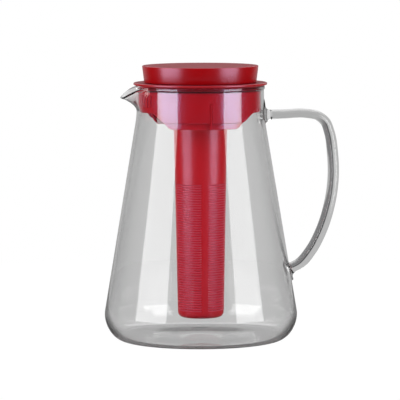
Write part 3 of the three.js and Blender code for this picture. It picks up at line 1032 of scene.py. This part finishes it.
@dataclass
class Lid:
    """The lid's base: flange, wavy collar, pour slots, slits and the lip round its opening."""

    flange_bottom: float = 209.5
    thickness: float = 2.6
    flange_radius: float = 54.9
    collar_radius: float = 49.6
    collar_wall: float = 2.4
    high_length: float = 21.2
    low_length: float = 28.6
    opening_radius: float = 40.0
    lip_wall: float = 2.0
    lip_bottom: float = 206.5
    groove_radius: float = 48.5
    groove_top: float = 208.2
    groove_bottom: float = 205.4
    slot_count: int = 11
    slot_pitch: float = 5.5
    slot_width: float = 1.1
    slot_top: float = 202.8
    slot_bottom: float = 193.0
    slit_width: float = 1.8
    slit_length: float = 16.0
    edge_round: float = 0.6
    bullnose: float = 0.85
    edge_thickness: float = 1.8
    seat_width: float = 2.4
    slot_shares: tuple[float, ...] = (-1, -0.75, -0.4, 0, 0.4, 0.75, 1)
    pivot_depth: float = 1.0
    column_step: float = 2.0
    wave: Wave = field(default_factory=Wave)

    @property
    def bottom(self) -> float:
        """Height of the collar's lowest edge."""
        return self.flange_bottom - self.low_length

    @property
    def slit_top(self) -> float:
        """Height up to which the slits reach."""
        return self.bottom + self.slit_length

    def slot_angles(self) -> Array:
        """Middle angle of each pour slot in degrees."""
        number = np.arange(self.slot_count) - (self.slot_count - 1) / 2
        return Facing.SPOUT.value + number * self.slot_pitch

    def profile(self) -> tuple[Array, Array]:
        """The closed section, with a row at each height where a slot or a slit starts or ends.

        Returns:
            The points of the line, and the row at which each corner starts.
        """
        outer, inner = self.collar_radius, self.collar_radius - self.collar_wall
        lip = self.opening_radius + self.lip_wall
        low, top = self.flange_bottom, self.flange_bottom + self.thickness
        corners = [
            ((inner + lip) / 2, low, 0),
            (lip, low, 0.4),
            (lip, self.lip_bottom, 0.4),
            (self.opening_radius, self.lip_bottom, 0.4),
            (self.opening_radius, top, 0.5),
            (self.flange_radius, top, self.bullnose),
            (self.flange_radius, top - self.edge_thickness, self.bullnose),
            (outer + self.seat_width, low, 0.5),
            (outer, low, 0.3),
            (outer, self.groove_top, 0),
            (self.groove_radius, self.groove_top, 0),
            (self.groove_radius, self.groove_bottom, 0),
            (outer, self.groove_bottom, 0),
            (outer, self.slot_top, 0),
            (outer, self.slit_top, 0),
            (outer, self.slot_bottom, 0),
            (outer, self.bottom, self.edge_round),
            (inner, self.bottom, self.edge_round),
            (inner, self.slot_bottom, 0),
            (inner, self.slit_top, 0),
            (inner, self.slot_top, 0),
            (inner, low, 0.4),
        ]
        return closed_profile(corners)

    def build(self) -> None:
        """Makes the lid's base, cuts its slots and slits, and puts it on its body.

        The rows are those of the profile's corners: the slots' and the slits' ends lie on 13 to
        15 outside, and on 18 to 20 inside.
        """
        line, start = self.profile()
        out_top, out_slit, out_low = start[13:16]
        in_low, in_slit, in_top = start[18:21]
        half_slot = math.degrees(self.slot_width / 2 / self.collar_radius)
        half_slit = math.degrees(self.slit_width / 2 / self.collar_radius)
        slots = self.slot_angles()
        special = [middle + share * half_slot for middle in slots for share in self.slot_shares]
        special += [middle + side * half_slit for middle in FRONT_AND_BACK for side in (-1, 1)]
        angles = columns_about(self.column_step, special)
        heights = np.repeat(line[:, 1:], len(angles), axis=1)
        high = self.flange_bottom - self.high_length
        edge = self.wave.height(
            angles, self.bottom, high, self.wave.collar_start, self.wave.collar_end
        )
        pivot = self.slot_bottom - self.pivot_depth
        heights = drawn_up(heights, heights < pivot, pivot, self.bottom, edge)
        holes = []
        for middle in slots:
            span = columns_within(angles, middle, half_slot)
            away = off_direction(angles[span], middle) / half_slot
            drop = self.slot_width / 2 * (1 - np.sqrt(np.clip(1 - away**2, 0, 1)))
            heights[np.ix_([out_top, in_top], span)] -= drop
            heights[np.ix_([out_low, in_low], span)] += drop
            holes.append(((out_top, out_low), (in_low, in_top), span))
        for middle in FRONT_AND_BACK:
            span = columns_within(angles, middle, half_slit)
            holes.append(((out_slit, out_low + 1), (out_low + 1, in_slit), span))
        keep = np.ones((len(line), len(angles)), bool)
        for outside, inside, span in holes:
            for first, last in (outside, inside):
                keep[first:last, span[:-1]] = False
        skin = Skin()
        index = skin.grid(turned(line[:, :1], heights, angles), closed_rows=True, keep=keep)
        for outside, inside, span in holes:
            window(skin, index, outside, inside, span)
        made = skin.build("lid_flange_and_collar")
        made.data.materials.append(shared(POLISHED_LID))
        middles, normals = faces_of(made)
        x, y, z = middles.T
        recoat(made, SATIN_LID, z > self.flange_bottom)
        # The level tops get painted sheen in their red
        recoat(made, ERODED_TOP_PAINTED_SHEEN, (z > self.flange_bottom) & (normals[:, 2] > LEVEL))
        outwards = (normals[:, 0] * x + normals[:, 1] * y) / np.hypot(x, y)
        # The walls of the pour slots get painted light
        walls = (z > self.slot_bottom) & (z < self.slot_top) & (x < 0)
        recoat(made, SLOT_WALLS_PAINTED_LIGHT, walls & (np.abs(outwards) < SIDEWAYS))
        place(made, "lid", "red_plastic", "lid_base")


@dataclass
class NeckRing:
    """The silicone ring that clings to the inside of the neck, with two soft lips."""

    outer_radius: float = 50.0
    thickness: float = 1.2
    bottom: float = 205.7
    height: float = 2.2
    lip_depth: float = 0.04
    squareness: float = 0.25
    rows: int = 40
    column_step: float = 2.0

    def build(self) -> None:
        """Makes the ring: an oval section whose outside is drawn in between its two lips."""
        turn = np.linspace(0, 2 * math.pi, self.rows, endpoint=False)
        up = np.sign(np.sin(turn)) * np.abs(np.sin(turn)) ** self.squareness
        out = np.sign(np.cos(turn)) * np.abs(np.cos(turn)) ** self.squareness
        radii = self.outer_radius - self.thickness / 2 * (1 - out)
        radii -= np.where(out > 0, self.lip_depth * np.cos(up * math.pi / 2) ** 2, 0)
        heights = self.bottom + self.height / 2 * (1 + up)
        angles = np.arange(0, FULL_TURN, self.column_step)
        made = lathed("neck_sealing_ring", radii, heights, angles)
        made.data.materials.append(shared(POLISHED_RING))
        place(made, "seal", "red_silicone", "neck_gasket")


@dataclass
class Cap:
    """The drum-shaped cap with the plug and the sealing ring under it."""

    foot: float = 212.4
    height: float = 13.6
    top_radius: float = 47.8
    foot_radius: float = 46.1
    edge_round: float = 0.6
    wall: float = 2.2
    plug_radius: float = 39.2
    plug_wall: float = 2.8
    plug_bottom: float = 206.8
    groove_radius: float = 38.0
    groove_bottom: float = 207.4
    groove_top: float = 209.8
    ring_outer: float = 39.7
    ring_thickness: float = 1.4
    ring_bottom: float = 207.7
    ring_height: float = 1.8
    ring_rows: int = 32
    inset: float = 8.0
    column_step: float = 1.5

    def build(self) -> None:
        """Makes the cap and its ring and puts them on their body."""
        top = self.foot + self.height
        ceiling = top - self.wall
        plug_inner = self.plug_radius - self.plug_wall
        corners = [
            (0, top, 0),
            (self.top_radius - self.inset, top, 0),
            (self.top_radius, top, self.edge_round),
            (self.foot_radius, self.foot, 0.3),
            (self.foot_radius - self.wall, self.foot, 0.3),
            (self.top_radius - self.wall, ceiling, 1.0),
            (self.plug_radius, ceiling, 0.6),
            (self.plug_radius, self.groove_top, 0),
            (self.groove_radius, self.groove_top, 0),
            (self.groove_radius, self.groove_bottom, 0),
            (self.plug_radius, self.groove_bottom, 0),
            (self.plug_radius, self.plug_bottom, 0.3),
            (plug_inner, self.plug_bottom, 0.5),
            (plug_inner, ceiling, 1.5),
            (plug_inner - self.inset, ceiling, 0),
            (0, ceiling, 0),
        ]
        line, _ = rounded(corners)
        angles = np.arange(0, FULL_TURN, self.column_step)
        drum = lathed("cap_drum", line[:, 0], line[:, 1], angles, closed_rows=False)
        drum.data.materials.append(shared(SATIN_LID))
        middles, normals = faces_of(drum)
        # The level top gets painted sheen in its red
        recoat(drum, ERODED_TOP_PAINTED_SHEEN, (middles[:, 2] > ceiling) & (normals[:, 2] > LEVEL))
        place(drum, "cap", "red_plastic", "cap_shell")
        turn = np.linspace(0, 2 * math.pi, self.ring_rows, endpoint=False)
        radii = self.ring_outer - self.ring_thickness / 2 * (1 - np.cos(turn))
        heights = self.ring_bottom + self.ring_height / 2 * (1 + np.sin(turn))
        ring = lathed("cap_sealing_ring", radii, heights, angles)
        ring.data.materials.append(shared(SILICONE))
        place(ring, "cap", "red_silicone", "cap_seal")


@dataclass
class Infuser:
    """The crown under the lid and the slotted tube that hangs from it. Sizes in millimetres."""

    crown_top: float = 206.2
    thickness: float = 1.9
    crown_radius: float = 46.9
    skirt_wall: float = 2.0
    skirt_length: float = 30.4
    side_length: float = 2.5
    ledge_wall: float = 2.0
    key_radius: float = 49.6
    key_width: float = 1.1
    key_top: float = 196.6
    flange_radius: float = 26.0
    flange_thickness: float = 1.6
    mouth_radius: float = 22.5
    foot_radius: float = 18.9
    foot_height: float = 18.4
    corner_radius: float = 4.5
    wall: float = 1.6
    floor_thickness: float = 1.8
    plain_foot_length: float = 6.2
    plain_top_length: float = 74.4
    pitch: float = 2.03
    slot_height: float = 1.0
    slot_throat: float = 0.25
    slot_chamfer: float = 0.45
    slot_columns: int = 4
    rib_angle: float = 17.0
    row_shift: float = 0.25
    corner_rows: int = 9
    slot_steps: int = 19
    column_step: float = 2.0
    sliver_angle: float = 0.02
    sliver_height: float = 0.01
    key_lift: float = 1.0
    key_arc_rows: int = 4
    neck_length: float = 1.0
    wave: Wave = field(default_factory=Wave)

    @property
    def ledge_top(self) -> float:
        """Height of the ledge that carries the tube's flange."""
        return self.crown_top - self.flange_thickness - SEAT_GAP

    def build(self) -> None:
        """Makes the crown and the tube and puts them on their body."""
        self.build_crown()
        self.build_tube()

    def build_crown(self) -> None:
        """Makes the crown: plate, ledge, wavy skirts, and the two keys that run in the slits.

        The keys stand out of the skirts, and slivers one cell wide make their tops and sides.
        """
        mouth = self.mouth_radius + SEAT_GAP
        recess = self.flange_radius + SEAT_GAP
        plate = self.crown_top - self.thickness
        ledge = self.ledge_top - self.thickness
        inner = self.crown_radius - self.skirt_wall
        bottom = self.crown_top - self.skirt_length
        corners = [
            ((mouth + recess) / 2, self.ledge_top, 0),
            (recess, self.ledge_top, 0.2),
            (recess, self.crown_top, 0.3),
            (self.crown_radius, self.crown_top, 0.4),
            (self.crown_radius, self.key_top + self.sliver_height, 0),
            (self.crown_radius, self.key_top, 0),
            (self.crown_radius, bottom, 0.5),
            (inner, bottom, 0.5),
            (inner, plate, 0.8),
            (recess + self.ledge_wall, plate, 0.4),
            (recess + self.ledge_wall, ledge, 0.4),
            (mouth, ledge, 0.4),
            (mouth, self.ledge_top, 0.4),
        ]
        line, start = closed_profile(corners)
        key_rows = start[4:6]
        half_key = math.degrees(self.key_width / 2 / self.crown_radius)
        special = [
            key + side * (half_key + extra)
            for key in FRONT_AND_BACK
            for side in (-1, 1)
            for extra in (0, self.sliver_angle)
        ]
        angles = columns_about(self.column_step, special)
        heights = np.repeat(line[:, 1:], len(angles), axis=1)
        radii = np.repeat(line[:, :1], len(angles), axis=1)
        edge = self.wave.height(
            angles, bottom, plate - self.side_length, self.wave.skirt_start, self.wave.skirt_end
        )
        free = heights < ledge
        free[key_rows] = False
        heights = drawn_up(heights, free, plate, bottom, edge)
        heights[key_rows] = np.maximum(heights[key_rows], edge + self.key_lift)
        rows = np.arange(start[5], start[6] + self.key_arc_rows)
        for key in FRONT_AND_BACK:
            span = columns_within(angles, key, half_key)
            radii[np.ix_(rows, span)] += self.key_radius - self.crown_radius
        made = lathed("infuser_plate_and_skirts", radii, heights, angles)
        # The skirts' red is painted lighter, as painted light
        made.data.materials.append(shared(SKIRT_PAINTED_LIGHT))
        place(made, "infuser", "red_plastic", "infuser_crown")

    def radius_at(self, heights: Array) -> Array:
        """Outer radius of the tapered tube: a straight line from its foot to its mouth."""
        share = (heights - self.foot_height) / (self.ledge_top + SEAT_GAP - self.foot_height)
        return self.foot_radius + (self.mouth_radius - self.foot_radius) * share

    def slot_side(self, outside: Array, inside: Array) -> Array:
        """The section of a slot's sill or head: a chamfer from the outside, then straight in."""
        return np.array([outside, (outside[0] - self.slot_chamfer, inside[1]), inside])

    def corner(self, radius: float, foot: float) -> Array:
        """The round corner at the tube's foot, as a quarter circle less its last point."""
        turn = np.linspace(0, math.pi / 2, self.corner_rows)[:-1]
        out = self.foot_radius - self.corner_radius + radius * np.sin(turn)
        return np.stack([out, foot + radius * (1 - np.cos(turn))], axis=-1)

    def build_tube(self) -> None:
        """Makes the strainer: rows of slots, tapered inwards, through a wall between plain ribs."""
        flange = self.ledge_top + SEAT_GAP
        first = self.foot_height + self.plain_foot_length
        rows = math.floor((flange - self.plain_top_length - first) / self.pitch)
        middles = first + (np.arange(rows)[:, None] + self.row_shift) * self.pitch
        edges = (middles + np.array([-0.5, 0.5]) * self.slot_height).ravel()
        throats = (middles + np.array([-0.5, 0.5]) * self.slot_throat).ravel()
        outer_wall = np.stack([self.radius_at(edges), edges], axis=-1)
        inner_wall = np.stack([self.radius_at(throats) - self.wall, throats], axis=-1)
        neck = flange - self.neck_length
        mouth = self.radius_at(flange) - self.wall
        corners = [
            (self.radius_at(neck), neck, 0),
            (self.radius_at(flange), flange, 0.4),
            (self.flange_radius, flange, 0.3),
            (self.flange_radius, self.crown_top, 0.5),
            (mouth, self.crown_top, 0.6),
            (mouth, neck, 0),
        ]
        rim, _ = rounded(corners)
        inside = self.foot_height + self.floor_thickness
        foot = np.vstack([(0, self.foot_height), self.corner(self.corner_radius, self.foot_height)])
        floor = np.vstack([(0, inside), self.corner(self.corner_radius - self.wall, inside)])
        line = np.concatenate([foot, outer_wall, rim, inner_wall[::-1], floor[::-1]])
        quarter = FULL_TURN / self.slot_columns
        starts = Facing.FRONT.value + self.rib_angle / 2 + quarter * np.arange(self.slot_columns)
        slot_angle = quarter - self.rib_angle
        shares = slot_angle * np.linspace(0, 1, self.slot_steps)
        ribs = self.rib_angle * np.array([-0.75, -0.5, -0.25])
        angles = columns_about(FULL_TURN, (starts[:, None] + np.r_[shares, ribs]).ravel())
        out_rows = len(foot) + 2 * np.arange(rows)
        in_rows = len(foot) + len(outer_wall) + len(rim) + 2 * np.arange(rows)[::-1]
        half = slot_angle / 2
        spans = [columns_within(angles, start + half, half) for start in starts]
        keep = np.ones((len(line), len(angles)), bool)
        skin = Skin()
        for span in spans:
            keep[np.ix_(np.r_[out_rows, in_rows], span[:-1])] = False
            for out_row, in_row in zip(out_rows, in_rows):
                self.add_slot(skin, line[[out_row, in_row + 1, out_row + 1, in_row]], angles[span])
        skin.grid(turned(line[:, 0], line[:, 1], angles), keep=keep)
        made = skin.build("infuser_strainer")
        # The tube's red is painted lighter, as painted light
        made.data.materials.append(shared(INFUSER_PAINTED_LIGHT))
        middles, normals = faces_of(made)
        slotted = (middles[:, 2] > edges[0]) & (middles[:, 2] < edges[-1])
        # The sills and heads of the slots get painted light
        recoat(made, SLOT_WALLS_PAINTED_LIGHT, slotted & (np.abs(normals[:, 2]) > SIDEWAYS))
        place(made, "infuser", "red_plastic", "infuser_tube")

    def add_slot(self, skin: Skin, ends: Array, angles: Array) -> None:
        """Adds a slot's sill, its head and the flat walls at its two ends.

        Args:
            skin: The tube.
            ends: Outer and inner edge of the sill, then of the head, as radius and height.
            angles: The columns that the slot spans.
        """
        sill, head = self.slot_side(ends[0], ends[1]), self.slot_side(ends[2], ends[3])
        for side in (sill, head):
            skin.grid(turned(side[:, 0], side[:, 1], angles), closed_columns=False)
        ring = np.concatenate([sill, head[::-1]])
        for angle in angles[[0, -1]]:
            skin.wall(turned(ring[:, 0], ring[:, 1], angle[None])[:, 0])


# The studio


@dataclass
class Studio:
    """A pale floor, two tall soft boxes beside the camera, one over the back, and the camera."""

    camera_azimuth: float = -10.0
    camera_elevation: float = 5.18
    camera_distance: float = 2.6187
    camera_roll: float = -0.15
    target_height: float = 0.1151
    target_right: float = -0.00049
    lens: float = 286.2
    sensor: float = 36.0
    clip: tuple[float, float] = (0.1, 60.0)
    box_azimuths: tuple[float, float] = (-62.0, 60.4)
    box_widths: tuple[float, float] = (0.924, 0.789)
    box_distance: float = 1.2
    box_bottom: float = -0.12
    box_top: float = 1.1
    box_radiance: float = 3.8
    top_distance: float = 1.5
    top_elevation: float = 50.0
    top_size: float = 1.4
    top_power: float = 8.0
    horizon: float = 0.02
    clear_horizon: float = 0.05
    back_horizon: float = 0.55
    back_soft: float = 0.36
    zenith: float = 0.6
    through_glass: float = 0.7
    bounces: int = 24
    floor_radius: float = 0.6
    floor_glow: float = 1.03
    floor_glow_share: float = 0.97
    floor_height_mm: float = -0.05
    floor_colour: str = "8C8C8C"
    floor_rings: int = 6
    column_step: float = 5.0
    back_span: tuple[float, float] = (0.5, 0.95)
    zenith_span: tuple[float, float] = (0.2, 0.8)

    def build(self) -> None:
        """Makes everything that isn't part of the object."""
        paths = bpy.context.scene.cycles
        paths.max_bounces = paths.transmission_bounces = paths.glossy_bounces = self.bounces
        self.add_camera()
        self.add_floor()
        self.add_room()
        self.add_boxes()

    def direction(self, azimuth: float, elevation: float) -> Array:
        """The direction from the object to a place, by degrees right of the front, and upwards."""
        a, e = math.radians(azimuth), math.radians(elevation)
        return np.array([math.sin(a) * math.cos(e), -math.cos(a) * math.cos(e), math.sin(e)])

    def add_camera(self) -> None:
        """Sets the camera at the photograph's angle, far off with a long lens."""
        away = self.direction(self.camera_azimuth, self.camera_elevation)
        right = self.direction(self.camera_azimuth + 90, 0)
        target = right * self.target_right + np.array([0, 0, self.target_height])
        data = bpy.data.cameras.new("camera")
        data.lens = self.lens
        data.sensor_width = self.sensor
        data.clip_start, data.clip_end = self.clip
        camera = bpy.data.objects.new("camera", data)
        camera.location = target + away * self.camera_distance
        roll = Matrix.Rotation(math.radians(self.camera_roll), 3, "Z")
        camera.rotation_euler = (Euler(look(away)).to_matrix() @ roll).to_euler()
        bpy.context.scene.collection.objects.link(camera)
        bpy.context.scene.camera = camera

    def add_floor(self) -> None:
        """Makes the floor, a wide round sheet of pale card."""
        rings = np.linspace(0, 1, self.floor_rings) * self.floor_radius / METRES_PER_MM
        heights = np.full(self.floor_rings, self.floor_height_mm)
        skin = Skin()
        skin.grid(turned(rings, heights, np.arange(0, FULL_TURN, self.column_step)))
        floor = skin.build("floor", Crease.BLOWN)
        material, shading = new_material("pale_card")
        card = shading.node("BsdfDiffuse", {"Color": linear(self.floor_colour)})
        straight, strength = shading.backdrop(self.floor_glow, self.through_glass)
        glow = shading.node("Emission", {"Strength": strength})
        share = shading.math("MULTIPLY", straight, self.floor_glow_share)
        mixed = shading.node("MixShader", {0: share, 1: card.outputs[0], 2: glow.outputs[0]})
        shading.node("OutputMaterial", {"Surface": mixed.outputs[0]})
        floor.data.materials.append(material)

    def add_room(self) -> None:
        """Lights the room: white to look at, also through glass, else soft over a dim horizon."""
        world = bpy.data.worlds.new("room")
        world.use_nodes = True
        shading = Shading(world.node_tree)
        where = shading.node("TexCoord").outputs["Generated"]
        up = shading.node("SeparateXYZ", {0: where}).outputs["Z"]
        back = self.direction(self.camera_azimuth + HALF_TURN, 0)
        behind = shading.vector("DOT_PRODUCT", where, tuple(back))
        sharp = shading.node("LightPath").outputs["Is Singular Ray"]
        back_level = shading.mix(sharp, self.back_soft, self.back_horizon)
        level = shading.mix(sharp, self.horizon, self.clear_horizon)
        low = shading.span(behind, self.back_span, level, back_level)
        sky = shading.span(up, self.zenith_span, low, self.zenith)
        straight, strength = shading.backdrop(1.0, self.through_glass)
        seen = shading.mix(straight, sky, strength)
        light = shading.node("Background", {"Color": linear("FFFFFF"), "Strength": seen})
        shading.node("OutputWorld", {"Surface": light.outputs["Background"]})
        bpy.context.scene.world = world
        bpy.context.scene.view_settings.view_transform = "Standard"

    def add_boxes(self) -> None:
        """Hangs two tall soft boxes beside the camera, and one over the back."""
        height = self.box_top - self.box_bottom
        for azimuth, width in zip(self.box_azimuths, self.box_widths):
            away = self.direction(self.camera_azimuth + azimuth, 0)
            middle = away * self.box_distance + np.array([0, 0, self.box_bottom + height / 2])
            power = self.box_radiance * math.pi * width * height
            self.add_box(middle, away, (width, height), power)
        away = self.direction(self.camera_azimuth + HALF_TURN, self.top_elevation)
        self.add_box(away * self.top_distance, away, (self.top_size, self.top_size), self.top_power)

    def add_box(self, middle: Array, away: Array, size: tuple[float, float], power: float) -> None:
        """Hangs one soft box.

        Args:
            middle: Its middle.
            away: The direction that its back faces.
            size: Its width and height.
            power: Its power in watts.
        """
        data = bpy.data.lights.new("soft_box", "AREA")
        data.shape = "RECTANGLE"
        data.size, data.size_y = size
        data.energy = power
        box = bpy.data.objects.new("soft_box", data)
        box.location = middle
        box.rotation_euler = look(away)
        box.visible_camera = False
        bpy.context.scene.collection.objects.link(box)


def look(away: Array) -> tuple[float, float, float]:
    """The turn that points a camera or a light, which look along -Z, back from a direction."""
    pitch = math.atan2(math.hypot(away[0], away[1]), away[2])
    return (pitch, 0.0, math.atan2(away[1], away[0]) + math.pi / 2)


def main() -> None:
    """Builds the studio and the five sub-assemblies."""
    logging.basicConfig(level=logging.INFO, format="%(name)s: %(message)s")
    Studio().build()
    for assembly in (Jug(), NeckRing(), Lid(), Cap(), Infuser()):
        assembly.build()


if __name__ == "__main__":
    main()
